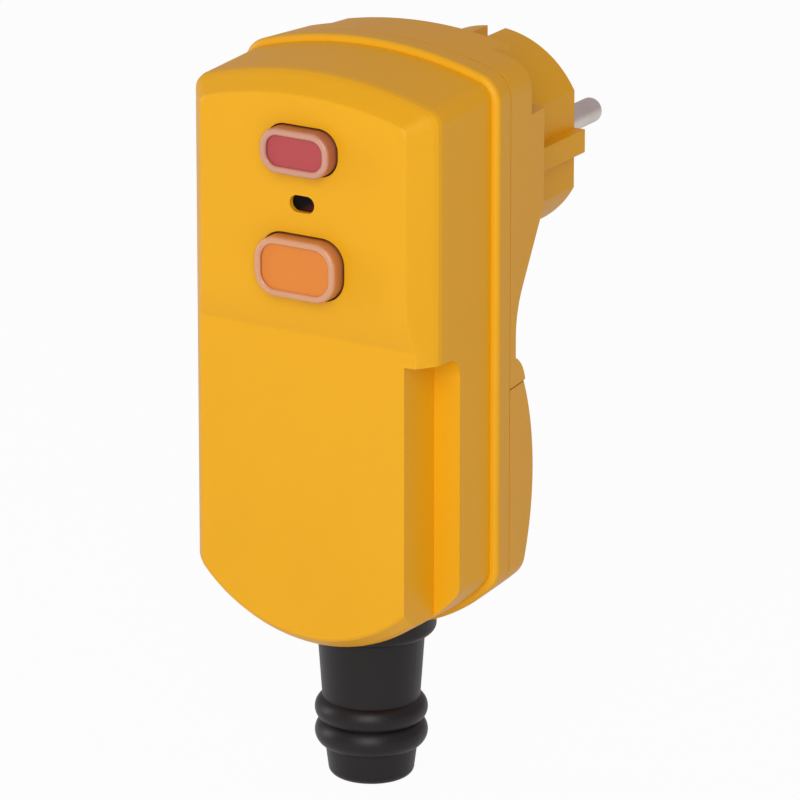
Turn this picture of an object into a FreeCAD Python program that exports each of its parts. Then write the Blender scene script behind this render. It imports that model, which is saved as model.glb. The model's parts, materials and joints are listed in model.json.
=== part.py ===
# Portable residual-current safety plug: a tower housing with a wall plug on its back, a red
# test key and an orange reset key on its front, and a rubber cord sleeve under it.
# Origin: centre of the plug's mating face, midway between the two pins.
# Axes: +X to the right seen from the front, +Y along the pins into the wall, +Z up.
# The housing lies at negative Y, so its depths are written as distances from the mating face.
import FreeCAD, Part
import math
import os
import re
import Sketcher

Vector = FreeCAD.Vector
ALONG = {"X": Vector(1, 0, 0), "Y": Vector(0, 1, 0), "Z": Vector(0, 0, 1)}
FAR = 60.0
SIDES = (-1, 1)

DIMENSIONS = {
    # wall plug
    "pin_radius": 2.4,
    "pin_root_radius": 1.9,
    "nose_face": 0.6,
    "pin_reach": 19.0,
    "pin_spacing": 19.0,
    "pin_tip_round": 1.3,
    "pin_seat": 30.0,
    "pin_tail_radius": 1.6,
    "nose_radius": 19.2,
    "nose_flat": 16.8,
    "nose_gap": 0.3,
    "rib_reach": 19.1,
    "rib_half": 2.2,
    "channel_half": 1.9,
    "channel_floor": 16.6,
    "flange_inset": 4.6,
    "flange_neck": 17.2,
    "plug_screw_inset": 2.2,
    "plug_screw_high": 6.6,
    "plug_screw_low": -5.2,
    "flange_shoulder": 10.2,
    "flange_top": 18.6,
    "flange_bottom": 9.2,
    "plug_rise": 2.8,
    "earth_half": 1.5,
    "strip": 0.8,
    # depths of the housing, each a step from its neighbour
    "front_rise": 12.4,
    "front_set_back": 1.5,
    "band_drop": 4.9,
    "rim_rise": 5.4,
    "parting_rise": 6.2,
    "corner_rise": 6.4,
    "rear_depth": 24.5,
    "waist_drop": 2.6,
    "lip_drop": 2.8,
    "seam_drop": 6.9,
    "bulge_drop": 11.1,
    "cover_low_drop": 6.0,
    # half widths, tops and bottoms of the housing's sections
    "front_inset": 4.2,
    "band_inset": 1.4,
    "body_inset": 1.5,
    "rim_half": 27.2,
    "front_top": 22.0,
    "band_top": 25.4,
    "body_top": 26.1,
    "rim_top": 27.4,
    "front_bottom": 79.9,
    "band_bottom": 83.2,
    "body_bottom": 83.4,
    "rim_bottom": 84.2,
    "side_draft": 2.5,
    "end_draft": 1.6,
    "top_radius": 75.0,
    "bottom_radius": 29.1,
    "rim_bottom_radius": 35.6,
    "front_corner": 1.8,
    "band_corner": 3.2,
    "body_corner": 3.6,
    "rim_corner": 5.5,
    "rim_low_corner": 4.0,
    "front_round": 0.8,
    "band_ease": 0.9,
    "rim_round": 1.0,
    "rear_round": 1.0,
    "wall": 2.4,
    "tower_wall": 3.2,
    # front crease, side grips and rear outline
    "crease_height": -22.7,
    "crease_run": 8.7,
    "grip_inset": 5.3,
    "grip_height": -25.7,
    "grip_drop": 11.9,
    "grip_slope": 0.05,
    "grip_round": 4.0,
    "waist_height": -27.0,
    "lip_height": -31.0,
    "seam_height": -36.3,
    "bulge_height": -52.5,
    "cover_low_height": -74.0,
    "sweep_radius": 15.0,
    "sweep_angle": 36.0,
    "relief_inset": 10.2,
    "relief_height": 13.2,
    "seam_gap": 0.3,
    "floor_rise": 6.5,
    "seal_inset": 0.7,
    "seal_width": 0.9,
    "seal_sink": 0.9,
    # keys
    "key_proud": 3.0,
    "key_sink": 0.5,
    "cap_flange": 1.2,
    "cap_seat": 0.3,
    "cap_floor": 1.3,
    "cap_gap": 0.3,
    "key_fit": 0.1,
    "cap_side": 1.3,
    "cap_edge": 0.9,
    "test_height": 12.1,
    "test_half": 7.3,
    "test_rise": 4.2,
    "test_corner": 3.7,
    "test_stem": 1.8,
    "test_rest": 7.9,
    "reset_height": -9.6,
    "reset_half": 8.6,
    "reset_rise": 5.6,
    "reset_corner": 4.4,
    "reset_stem": 2.5,
    "reset_rest": 0.1,
    "stem_gap": 0.25,
    "spring_wire": 0.3,
    # status window and flag
    "window_height": 2.0,
    "window_half": 2.6,
    "window_rise": 1.6,
    "lens_drop": 1.0,
    "flag_half": 3.4,
    "flag_bottom": -1.85,
    "flag_top": 3.85,
    "flag_drop": 4.2,
    "flag_thick": 0.8,
    "flag_travel": 2.4,
    "tongue_half": 1.2,
    "rail": 1.2,
    # board, mechanism frame and contacts
    "board_rise": 10.2,
    "board_thick": 1.6,
    "board_half": 18.6,
    "board_neck": 13.0,
    "board_shoulder": 10.0,
    "board_waist": -29.0,
    "board_top": 16.0,
    "board_bottom": -52.0,
    "board_post_x": 16.3,
    "board_post_high": 7.0,
    "board_post_low": -26.0,
    "board_post_radius": 2.2,
    "frame_rise": 12.0,
    "frame_thick": 2.0,
    "frame_half": 13.8,
    "frame_top": 16.0,
    "frame_bottom": -21.5,
    "leg": 2.5,
    "guide_x": 11.3,
    "guide_radius": 1.0,
    "run_fit": 0.06,
    "carriage_drop": 0.4,
    "carriage_half": 13.3,
    "carriage_thick": 2.0,
    "carriage_top": -4.0,
    "carriage_bottom": -15.0,
    "bridge_x": 6.5,
    "bridge_half": 1.75,
    "bridge_drop": 4.6,
    "contact_high": -5.7,
    "contact_low": -13.5,
    "contact_radius": 1.5,
    "contact_thick": 1.6,
    # trip magnet and latch
    "coil_rise": 12.5,
    "coil_radius": 6.0,
    "coil_tube": 3.1,
    "plunger_radius": 2.2,
    "plunger_neck": 1.2,
    "plunger_bottom": -36.5,
    "plunger_shoulder": -25.2,
    "head_bottom": -23.3,
    "head_top": -22.3,
    "yoke_half": 6.5,
    "yoke_top": -26.9,
    "yoke_bottom": -44.4,
    "yoke_plate": 1.4,
    "core_stub_top": -39.8,
    "pivot_rise": 4.5,
    "pivot_height": -19.5,
    "latch_pin": 0.8,
    "hub_radius": 2.2,
    "hub_half": 3.1,
    "ear_thick": 1.5,
    "lever_drop": 1.1,
    "tine_low": -24.6,
    # current transformer and board parts
    "core_height": -9.8,
    "core_outer": 7.8,
    "core_inner": 5.2,
    "core_drop": 1.0,
    "core_length": 5.0,
    "winding": 1.0,
    "capacitor_thick": 3.7,
    # terminals, cord clamp and cord sleeve
    "terminal_pitch": 10.0,
    "block_top": -56.0,
    "block_bottom": -69.3,
    "block_half": 15.2,
    "block_rise": 2.3,
    "block_thick": 12.0,
    "chamber_half": 3.2,
    "clamp_half": 3.0,
    "clamp_bore": 2.0,
    "cord_clamp_height": -72.4,
    "cord_clamp_x": 7.8,
    "post_radius": 2.6,
    "cord_rise": 5.0,
    "cord_bore": 4.8,
    "sleeve_neck": 8.0,
    "sleeve_flange": 1.6,
    "sleeve_gap": 0.3,
    "collar_radius": 12.1,
    "collar_top": -81.5,
    "collar_length": 4.2,
    "collar_round": 1.5,
    "sleeve_top": 10.0,
    "sleeve_low": 9.1,
    "taper_length": 17.0,
    "ring_radius": 10.5,
    "ring_drop": 2.3,
    "ring_waist": 9.3,
    "waist_step": 2.2,
    "ring_step": 2.3,
    "skirt_radius": 8.55,
    "skirt_drop": 2.8,
    "mouth_radius": 8.0,
    "mouth_round": 1.6,
    "skirt_length": 5.8,
    # screws
    "screw_inset": 6.4,
    "upper_screw": 17.2,
    "lower_screw": -33.0,
    "cover_screw_inset": 8.6,
    "cover_screw": -66.0,
    "boss_radius": 3.1,
    "screw_radius": 1.5,
    "head_radius": 2.8,
    "head_thick": 1.9,
    "head_sink": 2.2,
    "screw_bite": 10.0,
    "small_radius": 1.0,
    "small_head": 1.8,
    "small_thick": 1.4,
}

doc = FreeCAD.newDocument("SafetyPlug")
sheet = doc.addObject("Spreadsheet::Sheet", "Sizes")
for row, (alias, number) in enumerate(DIMENSIONS.items(), start=1):
    sheet.set(f"A{row}", alias)
    sheet.set(f"B{row}", str(number))
    sheet.setAlias(f"B{row}", alias)
doc.recompute()

# places that follow from the sizes, each from its neighbour towards the mating face
PLACES = {
    "front_half": "band_half - front_inset",
    "band_half": "rim_half - band_inset",
    "body_half": "rim_half - body_inset",
    "grip_half": "band_half - grip_inset",
    "relief_half": "rim_half - relief_inset",
    "flange_half": "rim_half - flange_inset",
    "plug_screw_x": "flange_half - plug_screw_inset",
    "screw_x": "rim_half - screw_inset",
    "cover_screw_x": "rim_half - cover_screw_inset",
    "front_depth": "frame_depth + front_rise",
    "band_depth": "front_depth - band_drop",
    "rim_depth": "parting_depth + rim_rise",
    "parting_depth": "plug_back + parting_rise",
    "corner_depth": "rear_depth + corner_rise",
    "waist_depth": "parting_depth - waist_drop",
    "lip_depth": "parting_depth - lip_drop",
    "seam_depth": "parting_depth - seam_drop",
    "bulge_depth": "parting_depth - bulge_drop",
    "cover_low_depth": "parting_depth - cover_low_drop",
    "grip_depth": "front_depth - grip_drop",
    "rear_floor": "rear_depth + floor_rise",
    "plug_back": "rear_floor + plug_rise",
    "lens_depth": "front_depth - lens_drop",
    "flag_front": "front_depth - flag_drop",
    "board_depth": "plug_back + board_rise",
    "frame_depth": "board_depth + frame_rise",
    "carriage_depth": "frame_depth - carriage_drop",
    "bridge_depth": "frame_depth - bridge_drop",
    "test_reach": "board_depth + test_rest",
    "reset_reach": "carriage_depth + reset_rest",
    "coil_depth": "board_depth + coil_rise",
    "pivot_depth": "board_depth + pivot_rise",
    "lever_front": "frame_depth - lever_drop",
    "core_front": "board_depth - core_drop",
    "capacitor_back": "board_depth - capacitor_thick",
    "cord_depth": "parting_depth + cord_rise",
    "block_front": "cord_depth + block_rise",
    "block_back": "block_front - block_thick",
    "collar_bottom": "collar_top - collar_length",
    "taper_end": "collar_top - taper_length",
    "first_ring": "taper_end - ring_drop",
    "waist_of_rings": "first_ring - waist_step",
    "second_ring": "waist_of_rings - ring_step",
    "skirt_top": "second_ring - skirt_drop",
    "sleeve_end": "skirt_top - skirt_length",
}
WORD = re.compile(r"\b(" + "|".join(sorted((*DIMENSIONS, *PLACES), key=len, reverse=True)) + r")\b")
PARTS = []


def bind(text):
    """Turn size names into references to the spreadsheet, and placed names into their sums."""
    def written_out(found):
        name = found.group(1)
        return f"({bind(PLACES[name])})" if name in PLACES else f"Sizes.{name}"

    return WORD.sub(written_out, str(text))


def value(text):
    """The number that an expression of size names has now."""
    return float(sheet.evalExpression(bind(text)))


def place(item, corner):
    for key, text in zip("xyz", corner):
        item.setExpression("Placement.Base." + key, bind(text))
    return item


def block(name, across, depths, heights):
    """A block from its X range, its depths (front, rear) and its Z range."""
    item = doc.addObject("Part::Box", name)
    item.setExpression("Length", bind(f"({across[1]}) - ({across[0]})"))
    item.setExpression("Width", bind(f"({depths[0]}) - ({depths[1]})"))
    item.setExpression("Height", bind(f"({heights[1]}) - ({heights[0]})"))
    return place(item, (across[0], f"-({depths[0]})", heights[0]))


def rod(name, axis, start, radius, length):
    """A cylinder that runs from start along +X, +Y or +Z."""
    item = doc.addObject("Part::Cylinder", name)
    item.Placement.Rotation = FreeCAD.Rotation(ALONG["Z"], ALONG[axis])
    item.setExpression("Radius", bind(radius))
    item.setExpression("Height", bind(length))
    return place(item, start)


def peg(name, x, z, depths, radius):
    """A cylinder along Y between two depths (front, rear)."""
    return rod(name, "Y", (x, f"-({depths[0]})", z), radius, f"({depths[0]}) - ({depths[1]})")


def stake(name, x, depth, heights, radius):
    """An upright cylinder between two heights."""
    return rod(name, "Z", (x, f"-({depth})", heights[0]), radius, f"({heights[1]}) - ({heights[0]})")


def beside(side, near, far):
    """X range between two distances on one side of the middle."""
    return (near, far) if side > 0 else (f"-({far})", f"-({near})")


def solid(name, shape):
    item = doc.addObject("Part::Feature", name)
    item.Shape = shape
    return item


def fuse(name, *items):
    item = doc.addObject("Part::MultiFuse", name)
    item.Shapes = list(items)
    return item


def group(name, *items):
    """Separate solids that share one node."""
    item = doc.addObject("Part::Compound", name)
    item.Links = list(items)
    return item


def cut(name, base, *tools):
    item = doc.addObject("Part::Cut", name)
    item.Base = base
    item.Tool = tools[0] if len(tools) == 1 else fuse(name + "_cuts", *tools)
    return item


def common(name, first, second):
    item = doc.addObject("Part::Common", name)
    item.Base = first
    item.Tool = second
    return item


def rounded(name, base, axis, radius):
    """Round the straight edges of a block that run along one axis."""
    doc.recompute()
    item = doc.addObject("Part::Fillet", name)
    item.Base = base
    size = value(radius)
    numbers = []
    for number, edge in enumerate(base.Shape.Edges, start=1):
        run = edge.Vertexes[-1].Point - edge.Vertexes[0].Point
        if run.Length > 1e-6 and abs(run.normalize().dot(ALONG[axis])) > 0.999:
            numbers.append((number, size, size))
    item.Edges = numbers
    return item


def keep(label, item):
    item.Label = label
    PARTS.append((label, item))


def at_depth(x, depth, z):
    return Vector(x, -depth, z)


def edge_of(points):
    """A straight edge from two points, an arc from three."""
    return Part.Arc(*points).toShape() if len(points) == 3 else Part.makeLine(*points)


def path(*points):
    """Straight runs that join a row of points."""
    return list(zip(points, points[1:]))


def outline(half, top, bottom, corners, depth, top_radius, bottom_radius):
    """Tower section: straight sides, arched top and bottom, rounded corners."""
    high_corner, low_corner = corners

    def corner_point(radius, corner):
        rise = math.sqrt((radius - corner) ** 2 - (half - corner) ** 2)
        reach = radius / (radius - corner)
        return (half - corner) * reach, rise * reach, rise

    high_x, high_z, high_rise = corner_point(top_radius, high_corner)
    low_x, low_z, low_rise = corner_point(bottom_radius, low_corner)
    top_centre = top - top_radius
    low_centre = bottom_radius - bottom

    def bend(side, corner, centre, rise, start, end):
        across = Vector(side, 0, 0)
        along_arch = Vector(side * (half - corner), 0, rise).normalize()
        out = (across + along_arch).normalize() * corner
        return start, at_depth(side * (half - corner), depth, centre + rise) + out, end

    def corners_on(side):
        return (
            at_depth(side * high_x, depth, top_centre + high_z),
            at_depth(side * half, depth, top_centre + high_rise),
            at_depth(side * half, depth, low_centre - low_rise),
            at_depth(side * low_x, depth, low_centre - low_z),
        )

    left = corners_on(-1)
    right = corners_on(1)
    runs = [
        (left[0], at_depth(0, depth, top), right[0]),
        bend(1, high_corner, top_centre, high_rise, right[0], right[1]),
        (right[1], right[2]),
        bend(1, low_corner, low_centre, -low_rise, right[2], right[3]),
        (right[3], at_depth(0, depth, -bottom), left[3]),
        bend(-1, low_corner, low_centre, -low_rise, left[3], left[2]),
        (left[2], left[1]),
        bend(-1, high_corner, top_centre, high_rise, left[1], left[0]),
    ]
    return Part.Wire([edge_of(run) for run in runs])


TOWER_DEPTHS = {"front": "front_depth", "band": "band_depth", "body": "rim_depth"}


def tower_sizes(kind):
    """Half width, top, bottom, corner and depth of one section of the tower."""
    names = [f"{kind}_{size}" for size in ("half", "top", "bottom", "corner")]
    return [value(name) for name in names + [TOWER_DEPTHS[kind]]]


def mixed(first, second, share):
    return [start + share * (end - start) for start, end in zip(first, second)]


def tower_section(sizes):
    half, top, bottom, corner, depth = sizes
    top_radius = top + value("top_radius - front_top")
    bottom_radius = bottom + value("bottom_radius - front_bottom")
    return outline(half, top, bottom, (corner, corner), depth, top_radius, bottom_radius)


def tower_form():
    """Tower in front of the rim: a slope round its front, eased into the sides."""
    front, band, body = [tower_sizes(kind) for kind in TOWER_DEPTHS]
    before = mixed(band, front, value("band_ease / (front_depth - band_depth)"))
    behind = mixed(band, body, value("band_ease / (band_depth - rim_depth)"))
    middle = mixed(mixed(before, behind, 0.5), band, 0.5)
    return prism(*[tower_section(sizes) for sizes in (front, before, middle, behind, body)])


def rim_outline(depth, shrink):
    """Section of the rim and the rear shells at one depth, drawn in by shrink."""
    share = (value("rim_depth") - depth) / value("rim_depth - rear_depth")
    ends = shrink + share * value("end_draft")
    return outline(
        value("rim_half") - shrink - share * value("side_draft"), value("rim_top") - ends,
        value("rim_bottom") - ends, (value("rim_corner") - shrink / 2, value("rim_low_corner") - shrink / 2),
        depth, value("top_radius + rim_top - front_top") - shrink, value("rim_bottom_radius") - shrink,
    )


def prism(*wires):
    return Part.makeLoft(list(wires), True, True)


def side_slab(runs):
    """A side outline in depth and height, swept across the housing's width."""
    edges = [edge_of([Vector(-FAR, -depth, height) for depth, height in run]) for run in runs]
    return Part.Face(Part.Wire(edges)).extrude(Vector(2 * FAR, 0, 0))


def face_edges(shape, direction):
    """Edges round the faces of a shape that look along +Y or -Y."""
    def looks_there(face):
        u0, u1, v0, v1 = face.ParameterRange
        return face.normalAt((u0 + u1) / 2, (v0 + v1) / 2).y * direction > 0.85

    chosen = [face for face in shape.Faces if looks_there(face)]
    all_edges = [edge for face in chosen for edge in face.Edges]
    return [edge for edge in all_edges if sum(1 for other in all_edges if other.isSame(edge)) == 1]


# housing
def layer(low, high):
    """All space between two heights."""
    return Part.makeBox(4 * FAR, 4 * FAR, high - low, Vector(-2 * FAR, -3 * FAR, low))


def softened(shape, low, high):
    """One length of the tower with its front edges rounded, its cut ends left sharp."""
    piece = shape.common(layer(low, high))
    edges = []
    for edge in face_edges(piece, -1):
        bounds = edge.BoundBox
        is_end = bounds.ZLength < 0.01 and min(abs(bounds.ZMin - low), abs(bounds.ZMax - high)) < 0.01
        if not is_end:
            edges.append(edge)
    return piece.makeFillet(value("front_round"), edges)


def creased(tower):
    """Set the lower front face back, below a curved run that ends in a crease."""
    front = value("front_depth")
    step = value("front_set_back")
    run = value("crease_run")
    crease = value("crease_height")
    radius = (run * run + step * step) / (2 * step)
    spare = run / 3
    outer = front + FAR

    def on_arc(drop):
        return front - radius + math.sqrt(radius ** 2 - drop ** 2), crease + run - drop

    curve = (on_arc(0), on_arc(run / 2), on_arc(run + spare))
    hollow = side_slab([curve] + path(curve[2], (outer, curve[2][1]), (outer, curve[0][1]), curve[0]))
    upper = softened(tower.cut(hollow), crease - spare, FAR)
    behind = Part.makeBox(4 * FAR, 4 * FAR, 4 * FAR, Vector(-2 * FAR, step - front, -3 * FAR))
    lower = softened(tower.common(behind), -3 * FAR, crease + spare)
    return upper.common(layer(crease, FAR)).fuse(lower.common(layer(-3 * FAR, crease)))


def grip_section(x, grow):
    """Side outline of a grip recess at one distance from the middle."""
    depth = value("grip_depth") - grow
    top = value("grip_height") + grow
    bend = value("grip_round")
    outer = value("front_depth") + FAR
    low = -4 * FAR
    turn = bend * (1 - math.sqrt(0.5))
    corner = (at_depth(x, depth + bend, top), at_depth(x, depth + turn, top - turn),
              at_depth(x, depth, top - bend))
    straight = path(corner[2], at_depth(x, depth, low), at_depth(x, outer, low), at_depth(x, outer, top),
                    corner[0])
    return Part.Wire([edge_of(run) for run in [corner] + straight])


def grip_recess(inset):
    """Step in the lower side wall for fingers to hold, or what stays round it when inset."""
    inner = value("grip_half") - inset
    outer = value("rim_half")
    grow = (outer - inner) * value("grip_slope")
    return prism(grip_section(inner, inset), grip_section(outer, inset + grow))


def front_form():
    """Outer solid of the front shell: the tapered tower on its wider rim."""
    tower = creased(tower_form()).cut(grip_recess(0.0))
    skirt = value("parting_depth + seam_gap / 2")
    rim = prism(rim_outline(value("rim_depth"), 0.0), rim_outline(skirt, 0.0))
    rim = rim.makeFillet(value("rim_round"), face_edges(rim, -1))
    return tower.fuse(rim)


def rim_room(front, rear):
    """Room behind the rim, closed under the cord by the housing's bottom."""
    shrink = value("wall")
    room = prism(rim_outline(front, shrink), rim_outline(rear, shrink))
    level = value("tower_wall - band_bottom")
    floor = Part.makeBox(2 * FAR, 2 * FAR, 4 * FAR, Vector(-FAR, -front - FAR, level))
    return room.common(floor)


def front_room():
    shrink = value("tower_wall")
    depths = (value("front_depth - front_set_back - wall"), value("parting_depth - 1"))
    half, top, bottom, corner, _ = [size - shrink for size in tower_sizes("band")]
    room = prism(*[tower_section((half, top, bottom, corner + shrink / 2, depth)) for depth in depths])
    room = room.cut(grip_recess(value("wall")))
    return room.fuse(rim_room(value("rim_depth - wall"), depths[1]))


def seal_ring(front, rear, grow):
    """Ring that follows the rim, between two depths."""
    outer = value("seal_inset") - grow
    inner = value("seal_inset + seal_width") + grow
    ring = prism(rim_outline(front, outer), rim_outline(rear, outer))
    return ring.cut(prism(rim_outline(front, inner), rim_outline(rear, inner)))


def key_block(name, kind, side, edge, depths):
    """Rounded block on a key's axis, drawn in at its sides and edges."""
    half = f"{kind}_half - ({side})"
    rise = f"{kind}_rise - ({edge})"
    item = block(name, (f"-({half})", half), depths, (f"{kind}_height - ({rise})", f"{kind}_height + {rise}"))
    return rounded(name + "_rounded", item, "Y", f"{kind}_corner - ({edge})")


def window_block(name, shrink, depths):
    """Obround block on the window's axis."""
    half = f"window_half - {shrink}"
    rise = f"window_rise - {shrink}"
    item = block(name, (f"-({half})", half), depths, (f"window_height - ({rise})", f"window_height + {rise}"))
    return rounded(name + "_rounded", item, "Y", f"({rise}) * 0.98")


HOUSING_SCREWS = {
    "upper": ("screw_x", "upper_screw", "corner_depth + head_sink"),
    "lower": ("screw_x", "lower_screw", "waist_depth + 1.2"),
    "cover": ("cover_screw_x", "cover_screw", "cover_low_depth + 0.4"),
}


def screw_spots(*kinds):
    """Name, X, Z and head seat of each housing screw."""
    for kind in kinds:
        across, height, seat = HOUSING_SCREWS[kind]
        for side in SIDES:
            yield f"{kind}_{side + 1}", f"{side} * {across}", height, seat


def cord_hole(owner):
    """Way through the bottom for the sleeve's neck, and the seat of its collar."""
    neck = stake(f"neck_way_{owner}", "0", "cord_depth", ("collar_top - 6", "collar_top + 6"),
                 "sleeve_neck + sleeve_gap")
    seat = stake(f"collar_seat_{owner}", "0", "cord_depth", ("collar_bottom - 6", "collar_top + sleeve_gap"),
                 "collar_radius + sleeve_gap")
    level = "tower_wall - band_bottom"
    flange = stake(f"flange_seat_{owner}", "0", "cord_depth", (level, f"{level} + 4"),
                   "sleeve_neck + sleeve_flange + sleeve_gap")
    return [neck, seat, flange]


def front_shell():
    form = solid("front_form", front_form())
    hollow = cut("front_hollow", form, solid("front_room", front_room()))
    inside = "front_depth - front_set_back - wall"
    root = f"{inside} + 0.5"
    fittings = []
    holes = [
        key_block("test_hole", "test", "-cap_gap", "-cap_gap", ("front_depth + 1", "front_depth - 6")),
        key_block("reset_hole", "reset", "-cap_gap", "-cap_gap", ("front_depth + 1", "front_depth - 6")),
        window_block("window_hole", "0", ("front_depth + 1", "front_depth - 6")),
        solid("seal_groove", seal_ring(value("parting_depth + seam_gap / 2 + seal_sink"),
                                       value("parting_depth - 1"), 0.1)),
    ] + cord_hole("front")
    for name, x, z, _ in screw_spots("upper", "lower", "cover"):
        fittings.append(peg(f"front_boss_{name}", x, z, (root, "parting_depth + seam_gap / 2"),
                            "boss_radius"))
        holes.append(peg(f"front_pilot_{name}", x, z, ("parting_depth + screw_bite + 1", "parting_depth - 1"),
                         "screw_radius + 0.05"))
    for side in SIDES:
        for level in ("board_post_high", "board_post_low"):
            x = f"{side} * board_post_x"
            foot = "board_depth + board_thick"
            fittings.append(peg(f"{level}_{side + 1}", x, level, (root, foot), "board_post_radius"))
            holes.append(peg(f"{level}_pilot_{side + 1}", x, level, (f"{foot} + 7", foot),
                             "small_radius + 0.05"))
        x = f"{side} * cord_clamp_x"
        foot = "cord_depth - cord_bore"
        fittings.append(peg(f"clamp_post_{side + 1}", x, "cord_clamp_height", (root, foot), "post_radius"))
        holes.append(peg(f"clamp_pilot_{side + 1}", x, "cord_clamp_height", (f"{foot} + 7", foot),
                         "small_radius + 0.05"))
        x = f"{side} * terminal_pitch / 2"
        level = "(block_top + block_bottom) / 2"
        fittings.append(peg(f"block_post_{side + 1}", x, level, (root, "block_front"), "post_radius"))
        holes.append(peg(f"block_pilot_{side + 1}", x, level, ("block_front + 6", "block_front"),
                         "small_radius + 0.05"))
        near = "flag_half + 0.3"
        levels = ("flag_bottom", "flag_top + flag_travel")
        fittings.append(block(f"flag_rail_{side + 1}", beside(side, near, f"{near} + rail"),
                              (root, f"{inside} - 2"), levels))
        fittings.append(block(f"flag_lip_{side + 1}", beside(side, f"{near} - 1", f"{near} + rail"),
                              (f"{inside} - 1.4", f"{inside} - 2.2"), levels))
    inner = common("front_fittings", fuse("front_additions", *fittings), form)
    keep("front_shell", cut("FrontShell", fuse("front_whole", hollow, inner), *holes))


def sweep_runs(top_depth, inset):
    """Rear outline from the plateau down to the waist: slope, then arc."""
    turn = math.radians(value("sweep_angle"))
    radius = value("sweep_radius") + inset
    waist = value("waist_depth") + inset
    level = value("waist_height")

    def on_arc(angle):
        return waist - radius * (1 - math.cos(angle)), level + radius * math.sin(angle)

    start = on_arc(turn)
    corner = (top_depth, start[1] + (start[0] - top_depth) / math.tan(turn))
    return path(corner, start) + [(start, on_arc(turn / 2), on_arc(0))]


def rear_slab():
    """Side outline of the rear shell, down to its seam with the terminal cover."""
    front = value("parting_depth - seam_gap / 2")
    top = value("rear_depth")
    sweep = sweep_runs(top, 0.0)
    seam = value("seam_height + seam_gap / 2")
    lip = (value("lip_depth"), value("lip_height"))
    edge = (value("seam_depth"), seam)
    bulge = (edge[0] + 0.28 * (lip[0] - edge[0]), (lip[1] + edge[1]) / 2)
    waist = path(sweep[-1][-1], (value("waist_depth"), lip[1]), lip)
    low = path(edge, (front, seam), (front, FAR), (top, FAR), sweep[0][0])
    return side_slab(sweep + waist + [(lip, bulge, edge)] + low)


def rear_room():
    """Room inside the rear shell, above its bottom wall."""
    wall = value("wall")
    front = value("parting_depth + 1")
    floor = value("seam_height + seam_gap / 2 + wall")
    sweep = sweep_runs(value("rear_floor"), wall)
    end = sweep[-1][-1]
    outline_runs = sweep + path(end, (end[0], floor), (front, floor), (front, FAR),
                                (value("rear_floor"), FAR), sweep[0][0])
    shrink = value("wall")
    sides = prism(rim_outline(front, shrink), rim_outline(value("rear_depth"), shrink))
    return side_slab(outline_runs).common(sides)


def rear_prism():
    """Straight block of the rear shells, drawn in a little to the rear."""
    front = value("parting_depth - seam_gap / 2")
    rear = value("rear_depth")
    form = prism(rim_outline(front, 0.0), rim_outline(rear, 0.0))
    return form.makeFillet(value("rear_round"), face_edges(form, 1))


def rear_shell():
    form = solid("rear_form", rear_prism().common(rear_slab()))
    reliefs = [
        block(f"corner_relief_{side + 1}", beside(side, "relief_half", "rim_half + 1"),
              ("corner_depth", "rear_depth - 1"), ("relief_height", "rim_top + 1"))
        for side in SIDES
    ]
    outer = cut("rear_outer", form, *reliefs)
    hollow = cut("rear_hollow", outer, solid("rear_room", rear_room()))
    bosses = []
    holes = [peg("nose_way", "0", "0", ("parting_depth", "rear_depth - 1"), "nose_radius + nose_gap")]
    for name, x, z, seat in screw_spots("upper", "lower"):
        bosses.append(peg(f"rear_boss_{name}", x, z, ("parting_depth - seam_gap / 2", f"{seat} - 1"),
                          "boss_radius"))
        holes.append(peg(f"rear_way_{name}", x, z, ("parting_depth + 1", f"{seat} - 1"),
                         "screw_radius + 0.2"))
        holes.append(peg(f"rear_seat_{name}", x, z, (seat, "rear_depth - 1"), "head_radius + 0.2"))
    for side in SIDES:
        for level in ("plug_screw_high", "plug_screw_low"):
            holes.append(peg(f"{level}_pilot_{side + 1}", f"{side} * plug_screw_x", level,
                             ("rear_floor + 1", "rear_floor - 4"), "small_radius + 0.05"))
    inner = common("rear_fittings", fuse("rear_bosses", *bosses), outer)
    keep("rear_shell", cut("RearShell", fuse("rear_whole", hollow, inner), *holes))


def cover_slab(inset):
    """Side outline of the terminal cover, bulged to the rear."""
    points = [(value(f"{name}_depth"), value(f"{name}_height")) for name in ("seam", "bulge", "cover_low")]
    circle = Part.Circle(*[Vector(depth, height, 0) for depth, height in points])
    centre_depth, centre_height = circle.Center.x, circle.Center.y
    radius = circle.Radius - inset
    front = value("parting_depth + 1")
    top = value("seam_height - seam_gap / 2") - inset

    def depth_at(height):
        return centre_depth - math.sqrt(radius ** 2 - (height - centre_height) ** 2)

    low = centre_height - math.sqrt(radius ** 2 - (front - centre_depth) ** 2)
    middle = value("bulge_height")
    curve = ((depth_at(top), top), (depth_at(middle), middle), (front, low))
    return side_slab([curve] + path((front, low), (front, top), (depth_at(top), top)))


def cover_edges(form):
    """Edges between the cover's bulged back and its sides, without its top and parting edges."""
    top = value("seam_height - seam_gap / 2")
    parting = value("parting_depth - seam_gap / 2")
    edges = []
    for face in form.Faces:
        if face.Surface.TypeId == "Part::GeomCylinder":
            for edge in face.Edges:
                bounds = edge.BoundBox
                on_top = bounds.ZMin > top - 0.01
                on_parting = bounds.YMax < 0.01 - parting
                if not on_top and not on_parting:
                    edges.append(edge)
    return edges


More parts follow.
